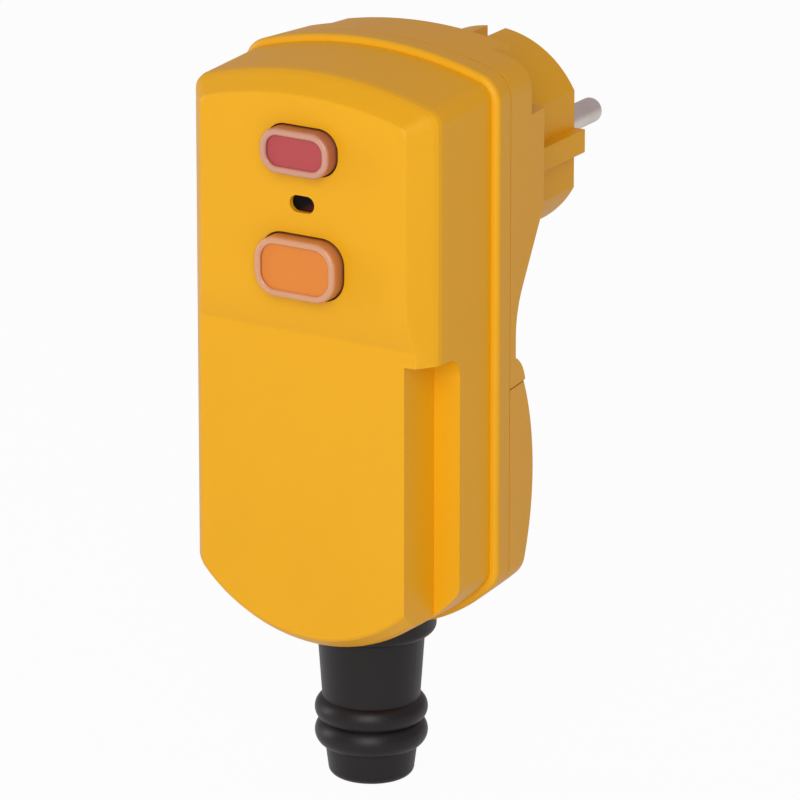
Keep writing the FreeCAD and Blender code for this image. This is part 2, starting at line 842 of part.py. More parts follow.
def terminal_cover():
    front = value("parting_depth - seam_gap / 2")
    rear = value("rear_depth")
    form = prism(rim_outline(front, 0.0), rim_outline(rear, 0.0)).common(cover_slab(0.0))
    form = form.makeFillet(value("rear_round"), cover_edges(form))
    room = rim_room(front + 1.0, rear).common(cover_slab(value("wall")))
    hollow = cut("cover_hollow", solid("cover_form", form), solid("cover_room", room))
    bosses = []
    holes = cord_hole("rear")
    for name, x, z, seat in screw_spots("cover"):
        bosses.append(peg(f"cover_boss_{name}", x, z, ("parting_depth - seam_gap / 2", f"{seat} - 1"),
                          "boss_radius"))
        holes.append(peg(f"cover_way_{name}", x, z, ("parting_depth + 1", f"{seat} - 1"),
                         "screw_radius + 0.2"))
        holes.append(peg(f"cover_seat_{name}", x, z, (seat, "rear_depth - 1"), "head_radius + 0.2"))
    inner = common("cover_fittings", fuse("cover_bosses", *bosses), solid("cover_side", cover_slab(0.0)))
    keep("terminal_cover", cut("TerminalCover", fuse("cover_whole", hollow, inner), *holes))


# plug on the back
def plug_body():
    length = ("plug_back", "nose_face")
    nose = peg("nose_round", "0", "0", length, "nose_radius")
    sides = block("nose_sides", ("-nose_flat", "nose_flat"), length, ("-nose_radius", "nose_radius"))
    ribs = block("nose_ribs", ("-rib_reach", "rib_reach"), length, ("-rib_half", "rib_half"))
    trimmed = fuse("nose_whole", common("nose_flats", nose, sides), common("nose_guides", nose, ribs))
    depths = ("plug_back", "rear_floor + 0.3")
    wide = block("flange_wide", ("-flange_half", "flange_half"), depths,
                 ("-flange_bottom", "flange_shoulder"))
    tall = block("flange_tall", ("-flange_neck", "flange_neck"), depths, ("-flange_bottom", "flange_top"))
    holes = []
    across = ("-channel_half", "channel_half")
    through = ("plug_back + 1", "-1")
    holes.append(block("channel_top", across, through, ("channel_floor", "flange_top + 1")))
    holes.append(block("channel_foot", across, through, ("-nose_radius - 1", "-channel_floor")))
    for side in SIDES:
        x = f"{side} * pin_spacing / 2"
        holes.append(peg(f"pin_way_{side + 1}", x, "0", ("pin_seat", "-1"), "pin_root_radius + 0.05"))
        holes.append(peg(f"tail_way_{side + 1}", x, "0", ("plug_back + 1", "pin_seat - 1"),
                         "pin_tail_radius + 0.05"))
        for level in ("plug_screw_high", "plug_screw_low"):
            holes.append(peg(f"{level}_way_{side + 1}", f"{side} * plug_screw_x", level,
                             ("plug_back + 1", "rear_floor"), "small_radius + 0.2"))
    keep("plug_body", cut("PlugBody", fuse("plug_solid", trimmed, wide, tall), *holes))


def turned(name, stations):
    """A body of revolution about +Z from radius and height expressions."""
    body = doc.addObject("PartDesign::Body", name)
    sketch = body.newObject("Sketcher::SketchObject", name + "_profile")
    planes = body.Origin.OriginFeatures
    sketch.AttachmentSupport = [(next(plane for plane in planes if plane.Role == "XZ_Plane"), "")]
    sketch.MapMode = "FlatFace"
    points = [Vector(value(radius), value(height), 0) for radius, height in stations]
    count = len(points)
    for index in range(count):
        sketch.addGeometry(Part.LineSegment(points[index], points[(index + 1) % count]))
    for index in range(count):
        sketch.addConstraint(Sketcher.Constraint("Coincident", index, 2, (index + 1) % count, 1))
    for index, texts in enumerate(stations):
        for kind, text, axis in (("DistanceX", texts[0], -2), ("DistanceY", texts[1], -1)):
            size = value(text)
            if abs(size) < 1e-9:
                sketch.addConstraint(Sketcher.Constraint("PointOnObject", index, 1, axis))
            else:
                number = sketch.addConstraint(Sketcher.Constraint(kind, -1, 1, index, 1, size))
                title = f"{kind[-1].lower()}_{index}"
                sketch.renameConstraint(number, title)
                sketch.setExpression("Constraints." + title, bind(text))
    turn = body.newObject("PartDesign::Revolution", name + "_turn")
    turn.Profile = sketch
    turn.ReferenceAxis = (sketch, ["V_Axis"])
    turn.Angle = 360.0
    body.Tip = turn
    return body


def round_rim(body, radius, height, size):
    """Round the circular edge of a turned body at one radius and height."""
    doc.recompute()
    base = body.Tip
    names = []
    for number, edge in enumerate(base.Shape.Edges, start=1):
        bounds = edge.BoundBox
        if bounds.ZLength < 1e-3 and abs(bounds.ZMin - value(height)) < 1e-3:
            if abs(bounds.XMax - value(radius)) < 1e-3:
                names.append(f"Edge{number}")
    fillet = body.newObject("PartDesign::Fillet", body.Name + "_round")
    fillet.Base = (base, names)
    fillet.setExpression("Radius", bind(size))
    body.Tip = fillet
    return body


def stand(body, axis, start):
    """Turn a body of revolution's +Z onto an axis and move it to its start."""
    body.Placement.Rotation = FreeCAD.Rotation(ALONG["Z"], ALONG[axis])
    return place(body, start)


def pins():
    for side, label in zip(SIDES, ("line_pin", "neutral_pin")):
        shoulder = "plug_back + 1.8 - pin_seat"
        free = "plug_back + 1.8"
        end = "plug_back + 1.8 + pin_reach"
        stations = [("0", "0"), ("pin_tail_radius", "0"), ("pin_tail_radius", shoulder),
                    ("pin_root_radius", shoulder), ("pin_root_radius", free), ("pin_radius", free),
                    ("pin_radius", end), ("0", end)]
        body = round_rim(turned(f"Pin{side + 1}", stations), "pin_radius", end, "pin_tip_round")
        keep(label, stand(body, "Y", (f"{side} * pin_spacing / 2", "-(plug_back + 1.8)", "0")))


def earth_parts():
    across = ("-earth_half", "earth_half")
    face = "channel_floor + strip"
    back = block("earth_back", across, ("plug_back + strip", "plug_back"), (f"-({face})", face))
    legs = [
        block("earth_top", across, ("plug_back + strip", "3.5"), ("channel_floor", face)),
        block("earth_foot", across, ("plug_back + strip", "3.5"), (f"-({face})", "-channel_floor")),
    ]
    keep("earth_contact", fuse("EarthContact", back, *legs))
    pad = ("plug_back + 2 * strip", "plug_back + strip")
    keep("earth_link", fuse(
        "EarthLink",
        block("earth_pad", ("-2.5", "2.5"), pad, ("6", "10")),
        block("earth_leg", ("-2.5", "2.5"), ("board_depth", "plug_back + strip"), ("6", "6 + strip")),
    ))


def pin_links():
    for side, label in zip(SIDES, ("line_link", "neutral_link")):
        lug = ("plug_back + 1", "plug_back")
        across = beside(side, "pin_spacing / 2 - 2.5", "pin_spacing / 2 + 2.5")
        plate = block(f"lug_{side + 1}", across, lug, ("-2.5", "2.5 + strip"))
        leg = block(f"link_leg_{side + 1}", across, ("board_depth", "plug_back"), ("2.5", "2.5 + strip"))
        hole = peg(f"lug_hole_{side + 1}", f"{side} * pin_spacing / 2", "0",
                   ("plug_back + 2", "plug_back - 1"),
                   "pin_tail_radius + 0.05")
        keep(label, cut(f"Link{side + 1}", fuse(f"link_{side + 1}", plate, leg), hole))


def screw(name, x, z, seat, head, thick, shank, length):
    """Cross-slotted screw driven from the rear: head outside its seat, shank towards the front."""
    top = f"{seat} - ({thick})"
    head_rod = peg(name + "_head", x, z, (seat, top), head)
    shank_rod = peg(name + "_shank", x, z, (f"{seat} + {length}", seat), shank)
    reach = f"({head}) * 0.6"
    thin = f"({head}) * 0.14"
    slot = (f"{top} + ({thick}) * 0.5", f"{top} - 1")
    wide = block(name + "_slot", (f"{x} - {reach}", f"{x} + {reach}"), slot,
                 (f"{z} - {thin}", f"{z} + {thin}"))
    tall = block(name + "_cross", (f"{x} - {thin}", f"{x} + {thin}"), slot,
                 (f"{z} - {reach}", f"{z} + {reach}"))
    return cut(name, fuse(name + "_blank", head_rod, shank_rod), wide, tall)


def small_screws(label, spots, seat, length):
    """One node of equal small screws at (x, z) spots."""
    items = [screw(f"{label}_{index}", x, z, seat, "small_head", "small_thick", "small_radius", length)
             for index, (x, z) in enumerate(spots)]
    keep(label, group(label + "_set", *items))


def screws():
    housing = []
    for name, x, z, seat in screw_spots("upper", "lower"):
        housing.append(screw(f"housing_screw_{name}", x, z, seat, "head_radius", "head_thick", "screw_radius",
                             f"(parting_depth + screw_bite - ({seat}))"))
    keep("housing_screws", group("housing_screw_set", *housing))
    cover = []
    for name, x, z, seat in screw_spots("cover"):
        cover.append(screw(f"cover_screw_{name}", x, z, seat, "head_radius", "head_thick", "screw_radius",
                           f"(parting_depth + screw_bite - ({seat}))"))
    keep("cover_screws", group("cover_screw_set", *cover))
    plug = [(f"{side} * plug_screw_x", level) for side in SIDES
            for level in ("plug_screw_high", "plug_screw_low")]
    items = []
    for index, (x, z) in enumerate(plug):
        seat = "-(plug_back + small_thick)"
        rear = rod(f"plug_screw_head_{index}", "Y", (x, seat, z), "small_head", "small_thick")
        shank = rod(f"plug_screw_shank_{index}", "Y", (x, "-plug_back", z), "small_radius",
                    "plug_back - rear_floor + 3.6")
        reach = "small_head * 0.6"
        slot = block(f"plug_screw_slot_{index}", (f"{x} - {reach}", f"{x} + {reach}"),
                     ("plug_back + small_thick + 1", "plug_back + small_thick * 0.5"),
                     (f"{z} - small_head * 0.14", f"{z} + small_head * 0.14"))
        items.append(cut(f"plug_screw_{index}", fuse(f"plug_screw_blank_{index}", rear, shank), slot))
    keep("plug_screws", group("plug_screw_set", *items))
    board = [(f"{side} * board_post_x", level) for side in SIDES
             for level in ("board_post_high", "board_post_low")]
    small_screws("board_screws", board, "board_depth", "board_thick + 6")
    small_screws("block_screws", [(f"{side} * terminal_pitch / 2", "(block_top + block_bottom) / 2")
                                  for side in SIDES], "block_back", "block_front - block_back + 5")
    small_screws("clamp_screws", [(f"{side} * cord_clamp_x", "cord_clamp_height") for side in SIDES],
                 "cord_depth - cord_bore - 1.4", "7.4")


def seal():
    parting = value("parting_depth")
    gap = value("seam_gap") / 2
    ring = seal_ring(parting + gap + value("seal_sink"), parting - gap, 0.0)
    keep("housing_seal", cut("HousingSeal", solid("seal_form", ring), *cord_hole("seal")))


# board and what stands on it
def circuit_board():
    depths = ("board_depth + board_thick", "board_depth")
    wide = block("board_wide", ("-board_half", "board_half"), depths, ("board_waist", "board_shoulder"))
    tall = block("board_tall", ("-board_neck", "board_neck"), depths, ("board_bottom", "board_top"))
    holes = []
    for side in SIDES:
        for level in ("board_post_high", "board_post_low"):
            holes.append(peg(f"{level}_hole_{side + 1}", f"{side} * board_post_x", level,
                             ("board_depth + board_thick + 1", "board_depth - 1"), "small_radius + 0.15"))
    keep("circuit_board", cut("CircuitBoard", fuse("board_plate", wide, tall), *holes))


def board_parts():
    front = "board_depth + board_thick"
    core = cut("TransformerCore",
               peg("core_ring", "0", "core_height", ("core_front", "core_front - core_length"), "core_outer"),
               peg("core_hole", "0", "core_height", ("core_front + 1", "core_front - core_length - 1"),
                   "core_inner"))
    keep("transformer_core", core)
    depths = ("board_depth", "core_front - core_length - winding")
    ring = peg("winding_ring", "0", "core_height", depths, "core_outer + winding")
    hole = peg("winding_hole", "0", "core_height", ("board_depth + 1", f"{depths[1]} - 1"),
               "core_inner - winding")
    seat = cut("winding_seat",
               peg("seat_ring", "0", "core_height", ("core_front", "core_front - core_length"), "core_outer"),
               peg("seat_hole", "0", "core_height", ("core_front", "core_front - core_length"), "core_inner"))
    open_end = block("winding_opening", ("-3", "3"), ("core_front", f"{depths[1]} - 1"),
                     ("core_height", "core_height + core_outer + 2 * winding"))
    keep("transformer_winding", cut("TransformerWinding", ring, hole, seat, open_end))
    can = block("can", ("-12", "-4"), ("board_depth", "capacitor_back"), ("-44", "-32"))
    keep("capacitor", rounded("Capacitor", can, "Z", "0.8"))
    disc = rod("varistor_disc", "X", ("6", "-(board_depth - 3.4)", "-44"), "3.2", "2.2")
    foot = block("varistor_foot", ("6.7", "7.5"), ("board_depth", "board_depth - 3.4"), ("-46", "-42"))
    keep("varistor", fuse("Varistor", disc, foot))
    bodies = []
    for index, z in enumerate(("-48.5", "-46.2")):
        barrel = rod(f"resistor_{index}", "X", ("4", f"-({front} + 0.9)", z), "0.9", "6")
        bodies.append(barrel)
    keep("resistors", group("resistor_set", *bodies))


def mechanism_frame():
    rear = "frame_depth"
    front = "frame_depth + frame_thick"
    foot = "board_depth + board_thick"
    plate = block("frame_plate", ("-frame_half", "frame_half"), (front, rear), ("frame_bottom", "frame_top"))
    extras = []
    for side in SIDES:
        for number, (low, high) in enumerate((("frame_bottom", "frame_bottom + leg"),
                                              ("frame_top - leg", "frame_top"))):
            across = beside(side, "frame_half - leg", "frame_half")
            extras.append(block(f"frame_leg_{number}_{side + 1}", across,
                                (front, foot), (low, high)))
        extras.append(peg(f"guide_{side + 1}", f"{side} * guide_x", "reset_height", (front, f"{foot} + 0.7"),
                          "guide_radius"))
        extras.append(block(f"ear_{side + 1}", beside(side, "hub_half + 0.3", "hub_half + 0.3 + ear_thick"),
                            (front, "pivot_depth - hub_radius + 0.3"),
                            ("frame_bottom", "pivot_height + hub_radius")))
    holes = [
        peg("test_stem_way", "0", "test_height", (f"{front} + 1", f"{rear} - 1"), "test_stem + stem_gap"),
        peg("reset_stem_way", "0", "reset_height", (f"{front} + 1", f"{rear} - 1"), "reset_stem + stem_gap"),
        block("tongue_way", ("-(tongue_half + 0.3)", "tongue_half + 0.3"), (f"{front} + 1", f"{rear} - 1"),
              ("flag_bottom - 0.3", "flag_bottom + flag_travel + 1.6")),
        rod("latch_pin_way", "X", ("-10", "-pivot_depth", "pivot_height"), "latch_pin + 0.03", "20"),
    ]
    keep("mechanism_frame", cut("MechanismFrame", fuse("frame_whole", plate, *extras), *holes))
    pin_half = "(hub_half + 0.3 + ear_thick)"
    keep("latch_pin", rod("LatchPin", "X", (f"-{pin_half}", "-pivot_depth", "pivot_height"), "latch_pin",
                          f"2 * {pin_half}"))


# keys and their springs
def key_set(kind, reach):
    """Key cap, key with its stem, and the spring behind them."""
    front = "front_depth + key_proud"
    inside = "front_depth - front_set_back - wall"
    back = f"{inside} - cap_seat - cap_flange"
    floor = f"{back} + cap_floor"
    shell = key_block(f"{kind}_cap_shell", kind, "0", "0", (front, back))
    flange = key_block(f"{kind}_cap_flange", kind, "-cap_flange", "-cap_flange",
                       (f"{inside} - cap_seat", back))
    pocket = key_block(f"{kind}_cap_pocket", kind, "cap_side", "cap_edge", (f"{front} + 1", floor))
    stem_hole = peg(f"{kind}_cap_hole", "0", f"{kind}_height", (f"{front}", f"{back} - 1"),
                    f"{kind}_stem + 0.05")
    keep(f"{kind}_key_cap", cut(f"{kind}_KeyCap", fuse(f"{kind}_cap", shell, flange), pocket, stem_hole))
    face = key_block(f"{kind}_face", kind, "cap_side + key_fit", "cap_edge + key_fit",
                     (f"{front} - key_sink", floor))
    stem = peg(f"{kind}_stem", "0", f"{kind}_height", (f"{floor} + 1", reach), f"{kind}_stem")
    keep(f"{kind}_key", fuse(f"{kind}_Key", face, stem))
    room = value(back) - value("frame_depth + frame_thick")
    start = at_depth(0, value(back), value(f"{kind}_height"))
    radius = value(f"{kind}_stem + spring_wire") + 1.0
    keep(f"{kind}_key_spring", coil(f"{kind}_KeySpring", "Y", start, room, radius, value("spring_wire"), 4))


def coil_shape(start, direction, length, radius, wire, turns):
    """A round-wire spring that fills a length along a direction."""
    rise = (length - 2 * wire) / turns
    helix = Part.makeLongHelix(rise, rise * turns, radius)
    ring = Part.Wire(Part.makeCircle(wire, Vector(radius, 0, 0), ALONG["Y"]))
    shape = Part.Wire(helix.Edges).makePipeShell([ring], True, True)
    shape.Placement = FreeCAD.Placement(start + direction * wire, FreeCAD.Rotation(ALONG["Z"], direction))
    return shape


def coil(name, axis, start, length, radius, wire, turns):
    return solid(name, coil_shape(start, ALONG[axis], length, radius, wire, turns))


# contacts
def contacts():
    front = "carriage_depth"
    rear = "carriage_depth - carriage_thick"
    foot = "board_depth + board_thick"
    plate = block("carriage_plate", ("-carriage_half", "carriage_half"), (front, rear),
                  ("carriage_bottom", "carriage_top"))
    ramp = [(value(front), value("carriage_top") + value("carriage_thick")),
            (value(rear), value("carriage_top")), (value(front), value("carriage_top"))]
    edges = [edge_of([at_depth(-value("tongue_half"), depth, height) for depth, height in run])
             for run in path(ramp[0], ramp[1], ramp[2], ramp[0])]
    cheek = Part.Face(Part.Wire(edges))
    wedge = solid("carriage_wedge", cheek.extrude(Vector(2 * value("tongue_half"), 0, 0)))
    posts = []
    holes = []
    bridges = []
    pads = []
    springs = []
    tip = "bridge_depth - 1.6"
    for side in SIDES:
        x = f"{side} * bridge_x"
        posts.append(peg(f"bridge_post_{side + 1}", x, "reset_height", (front, "bridge_depth - 1"), "0.6"))
        holes.append(peg(f"guide_way_{side + 1}", f"{side} * guide_x", "reset_height",
                         (f"{front} + 1", f"{rear} - 1"), "guide_radius + run_fit"))
        bar = block(f"bridge_bar_{side + 1}", (f"{x} - bridge_half", f"{x} + bridge_half"),
                    ("bridge_depth", "bridge_depth - 1"), ("carriage_bottom", "carriage_top - 0.2"))
        tips = [peg(f"bridge_tip_{side + 1}_{level}", x, f"contact_{level}", ("bridge_depth - 0.5", tip),
                    "contact_radius - 0.3") for level in ("low", "high")]
        hole = peg(f"bridge_hole_{side + 1}", x, "reset_height", ("bridge_depth + 1", "bridge_depth - 2"),
                   "0.65")
        bridges.append(cut(f"bridge_{side + 1}", fuse(f"bridge_whole_{side + 1}", bar, *tips), hole))
        for level in ("low", "high"):
            pads.append(peg(f"pad_{side + 1}_{level}", x, f"contact_{level}",
                            (f"{foot} + contact_thick", foot), "contact_radius"))
        start = at_depth(value(x), value(rear), value("reset_height"))
        springs.append(coil_shape(start, ALONG["Y"], value(f"{rear} - bridge_depth"), 1.1, 0.2, 3))
    plate_holes = cut("ContactCarriage", fuse("carriage_whole", plate, wedge, *posts), *holes)
    keep("contact_carriage", plate_holes)
    keep("moving_contacts", group("bridge_set", *bridges))
    keep("fixed_contacts", group("pad_set", *pads))
    keep("contact_springs", solid("ContactSprings", Part.makeCompound(springs)))
    run = value(rear) - value(foot)
    returns = [coil_shape(at_depth(side * value("guide_x"), value(rear), value("reset_height")), ALONG["Y"],
                          run, value("guide_radius") + 0.7, 0.25, 6) for side in SIDES]
    keep("opening_springs", solid("OpeningSprings", Part.makeCompound(returns)))
    base = block("test_leaf_base", ("-2", "2"), (f"{foot} + strip / 2", foot),
                 ("test_height - 6", "test_height - 3.5"))
    rise = block("test_leaf_rise", ("-2", "2"), ("test_reach - 2.1", foot),
                 ("test_height - 3.9", "test_height - 3.5"))
    arm = block("test_leaf_arm", ("-2", "2"), ("test_reach - 2.1", "test_reach - 2.5"),
                ("test_height - 3.9", "test_height + 2.5"))
    keep("test_contact", fuse("TestContact", base, rise, arm))


def status_parts():
    front = "flag_front"
    rear = "flag_front - flag_thick"
    plate = block("flag_plate", ("-flag_half", "flag_half"), (front, rear), ("flag_bottom", "flag_top"))
    face = value("carriage_depth") - 0.21
    thick = value("carriage_thick")
    top = value("flag_bottom") + 1.2
    heel = value("carriage_top + carriage_thick") + 0.21
    back = face - thick - 1.0
    tongue = block("flag_tongue", ("-tongue_half", "tongue_half"), (rear, str(back)),
                   ("flag_bottom", str(top)))
    corners = [(face, heel), (face - thick, heel - thick), (back, heel - thick), (back, top), (face, top),
               (face, heel)]
    edges = [edge_of([at_depth(-value("tongue_half"), depth, height) for depth, height in run])
             for run in path(*corners)]
    finger = solid("flag_finger", Part.Face(Part.Wire(edges)).extrude(Vector(2 * value("tongue_half"), 0, 0)))
    keep("status_flag", fuse("StatusFlag", plate, tongue, finger))
    keep("window_lens", window_block("window_lens_block", "0.05", ("lens_depth", "flag_front + 0.6")))


# trip magnet and latch
def trip_magnet():
    front = "coil_depth + coil_radius + 0.7"
    foot = "board_depth + board_thick"
    across = ("-yoke_half", "yoke_half")
    top = block("yoke_top_plate", across, (front, foot), ("yoke_top - yoke_plate", "yoke_top"))
    low = block("yoke_foot_plate", across, (front, foot), ("yoke_bottom", "yoke_bottom + yoke_plate"))
    back = block("yoke_back", across, (f"{foot} + yoke_plate", foot), ("yoke_bottom", "yoke_top"))
    stub = stake("core_stub", "0", "coil_depth", ("yoke_bottom", "core_stub_top"), "plunger_radius")
    way = stake("plunger_way", "0", "coil_depth", ("yoke_top - yoke_plate - 1", "yoke_top + 1"),
                "plunger_radius + run_fit")
    keep("trip_yoke", cut("TripYoke", fuse("yoke_whole", top, low, back, stub), way))
    start = ("0", "-coil_depth", "yoke_bottom + yoke_plate")
    length = "yoke_top - yoke_bottom - 2 * yoke_plate"
    inner = "plunger_radius + 0.3"
    stations = [(inner, "0"), ("coil_radius", "0"), ("coil_radius", "1"), ("coil_tube", "1"),
                ("coil_tube", f"{length} - 1"), ("coil_radius", f"{length} - 1"), ("coil_radius", length),
                (inner, length)]
    keep("coil_bobbin", stand(turned("CoilBobbin", stations), "Z", start))
    stations = [("coil_tube", "1"), ("coil_radius - 0.4", "1"), ("coil_radius - 0.4", f"{length} - 1"),
                ("coil_tube", f"{length} - 1")]
    keep("trip_coil", stand(turned("TripCoil", stations), "Z", start))
    zero = "plunger_bottom"
    stations = [("0", "0"), ("plunger_radius", "0"), ("plunger_radius", f"plunger_shoulder - {zero}"),
                ("plunger_neck", f"plunger_shoulder - {zero}"), ("plunger_neck", f"head_bottom - {zero}"),
                ("plunger_radius", f"head_bottom - {zero}"), ("plunger_radius", f"head_top - {zero}"),
                ("0", f"head_top - {zero}")]
    keep("trip_plunger", stand(turned("TripPlunger", stations), "Z", ("0", "-coil_depth", zero)))
    foot = at_depth(0, value("coil_depth"), value("core_stub_top"))
    keep("plunger_spring", coil("PlungerSpring", "Z", foot,
                                value("plunger_bottom - core_stub_top"), 1.5, 0.2, 4))


def latch_lever():
    front = "lever_front"
    rear = "lever_front - 1"
    half = "hub_half"
    hub = rod("lever_hub", "X", (f"-{half}", "-pivot_depth", "pivot_height"), "hub_radius", f"2 * {half}")
    arm = block("lever_arm", (f"-{half}", half), (front, "pivot_depth"),
                ("pivot_height - 0.9", "pivot_height + 0.9"))
    riser = block("lever_riser", ("-2.1", "2.1"), (front, rear),
                  ("pivot_height - 0.9", "carriage_bottom - 0.4"))
    legs = []
    for side in SIDES:
        across = beside(side, "hub_half - 1.2", "hub_half")
        legs.append(block(f"lever_leg_{side + 1}", across, (front, rear), ("tine_low", "pivot_height + 0.9")))
        legs.append(block(f"lever_tine_{side + 1}", across, ("coil_depth + 2.1", rear),
                          ("tine_low", "tine_low + strip")))
    way = rod("lever_way", "X", ("-10", "-pivot_depth", "pivot_height"), "latch_pin + run_fit", "20")
    keep("latch_lever", cut("LatchLever", fuse("lever_whole", hub, arm, riser, *legs), way))


# terminals and cord
def terminals():
    whole = block("terminal_solid", ("-block_half", "block_half"), ("block_front", "block_back"),
                  ("block_bottom", "block_top"))
    holes = []
    clamps = []
    heads = []
    for number, turn in enumerate((-1, 0, 1)):
        x = f"{turn} * terminal_pitch"
        across = (f"{x} - chamber_half", f"{x} + chamber_half")
        holes.append(block(f"chamber_{number}", across, ("block_front - 0.9", "block_back + 4.1"),
                           ("block_bottom - 1", "block_top + 1")))
        holes.append(peg(f"driver_way_{number}", x, "block_bottom + 5.5",
                         ("block_back + 5", "block_back - 1"), "2.3"))
        cage = block(f"cage_{number}", (f"{x} - clamp_half", f"{x} + clamp_half"),
                     ("block_front - 0.9", "block_back + 4.3"), ("block_bottom + 1", "block_top - 4"))
        tail = block(f"cage_tail_{number}", (f"{x} - 1.5", f"{x} + 1.5"),
                     ("board_depth", "board_depth - strip"), ("block_top - 5", "board_bottom + 5"))
        wire = stake(f"wire_way_{number}", x, "block_front - 4", ("block_bottom", "block_top - 5.5"),
                     "clamp_bore")
        thread = peg(f"screw_way_{number}", x, "block_bottom + 5.5", ("block_front - 4", "block_back"),
                     "1.45")
        clamps.append(cut(f"clamp_{number}", fuse(f"clamp_whole_{number}", cage, tail), wire, thread))
        heads.append(screw(f"terminal_screw_{number}", x, "block_bottom + 5.5", "block_back + 2.8", "2.0",
                           "2.3", "1.4", "3.4"))
    for side in SIDES:
        holes.append(peg(f"block_way_{side + 1}", f"{side} * terminal_pitch / 2",
                         "(block_top + block_bottom) / 2", ("block_front + 1", "block_back - 1"),
                         "small_radius + 0.15"))
    keep("terminal_block", cut("TerminalBlock", whole, *holes))
    keep("terminal_clamps", group("clamp_set", *clamps))
    keep("terminal_screws", group("terminal_screw_set", *heads))


def cord_clamp():
    foot = "cord_depth - cord_bore"
    bar = block("clamp_bar", ("-(cord_clamp_x + 2.7)", "cord_clamp_x + 2.7"), (foot, f"{foot} - 2.6"),
                ("cord_clamp_height - 2", "cord_clamp_height + 2"))
    arch = stake("clamp_arch", "0", "cord_depth", ("cord_clamp_height - 3", "cord_clamp_height + 3"),
                 "cord_bore + 1.2")
    holes = [peg(f"clamp_way_{side + 1}", f"{side} * cord_clamp_x", "cord_clamp_height",
                 (f"{foot} + 1", f"{foot} - 4"), "small_radius + 0.15") for side in SIDES]
    holes += [peg(f"clamp_seat_{side + 1}", f"{side} * cord_clamp_x", "cord_clamp_height",
                  (f"{foot} - 1.4", f"{foot} - 4"), "small_head + 0.15") for side in SIDES]
    keep("cord_clamp", cut("CordClamp", bar, arch, *holes))


def cord_sleeve():
    """Rubber sleeve turned about the cord: inner flange, neck, collar, taper, two rings and skirt."""
    bore = value("cord_bore")
    neck = value("sleeve_neck")
    collar = value("collar_radius")
    top = value("tower_wall - band_bottom")
    flange = neck + value("sleeve_flange")
    seat = value("collar_top")
    low = value("collar_bottom")
    bend = value("collar_round")
    mouth = value("mouth_radius")
    tip = value("mouth_round")
    end = value("sleeve_end")
    turn = math.sqrt(0.5)
    points = [(bore, top + 2), (flange, top + 2), (flange, top), (neck, top), (neck, seat),
              (collar, seat), (collar, low + bend)]
    runs = path(*points)
    halfway = (collar - bend * (1 - turn), low + bend * (1 - turn))
    runs.append(((collar, low + bend), halfway, (collar - bend, low)))
    runs += path((collar - bend, low), (value("sleeve_top"), low), (value("sleeve_low"), value("taper_end")))
    waist = (value("ring_waist"), value("waist_of_rings"))
    runs.append((runs[-1][-1], (value("ring_radius"), value("first_ring")), waist))
    skirt = (value("skirt_radius"), value("skirt_top"))
    runs.append((waist, (value("ring_radius"), value("second_ring")), skirt))
    runs += path(skirt, (mouth, end + tip))
    runs.append(((mouth, end + tip), (mouth - tip * (1 - turn), end + tip * (1 - turn)), (mouth - tip, end)))
    runs += path((mouth - tip, end), (bore, end), (bore, top + 2))
    centre = value("cord_depth")
    edges = [edge_of([Vector(radius, -centre, height) for radius, height in run]) for run in runs]
    shape = Part.Face(Part.Wire(edges)).revolve(Vector(0, -centre, 0), ALONG["Z"], 360)
    keep("cord_sleeve", solid("CordSleeve", shape))


front_shell()
rear_shell()
terminal_cover()
plug_body()
pins()
earth_parts()
pin_links()
screws()
seal()
circuit_board()
board_parts()
mechanism_frame()
key_set("test", "test_reach")
key_set("reset", "reset_reach")
contacts()
status_parts()
trip_magnet()
latch_lever()
terminals()
cord_clamp()
cord_sleeve()

doc.recompute()
problems = [item.Name for item in doc.Objects if {"Invalid", "Error"} & set(item.State)]
for label, item in PARTS:
    shape = item.Shape
    if shape.isNull() or not shape.isValid() or shape.Volume <= 0:
        problems.append(label)
if problems:
    raise RuntimeError("not sound: " + ", ".join(problems))
os.makedirs("parts", exist_ok=True)
for label, item in PARTS:
    item.Shape.exportStep(f"parts/{label}.step")
    print(label, len(item.Shape.Solids), round(item.Shape.Volume, 2))
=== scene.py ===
# %% [markdown]
# # A portable safety plug
# This lesson dresses a finished technical model. The solids of a residual-current plug are loaded as a
# fixed frame, and Blender adds what a maker's drawing leaves out: soft edges, finishes, light and a camera.

# %% Load the frame
import json
import math
import bmesh
import bpy
from mathutils import Matrix, Vector


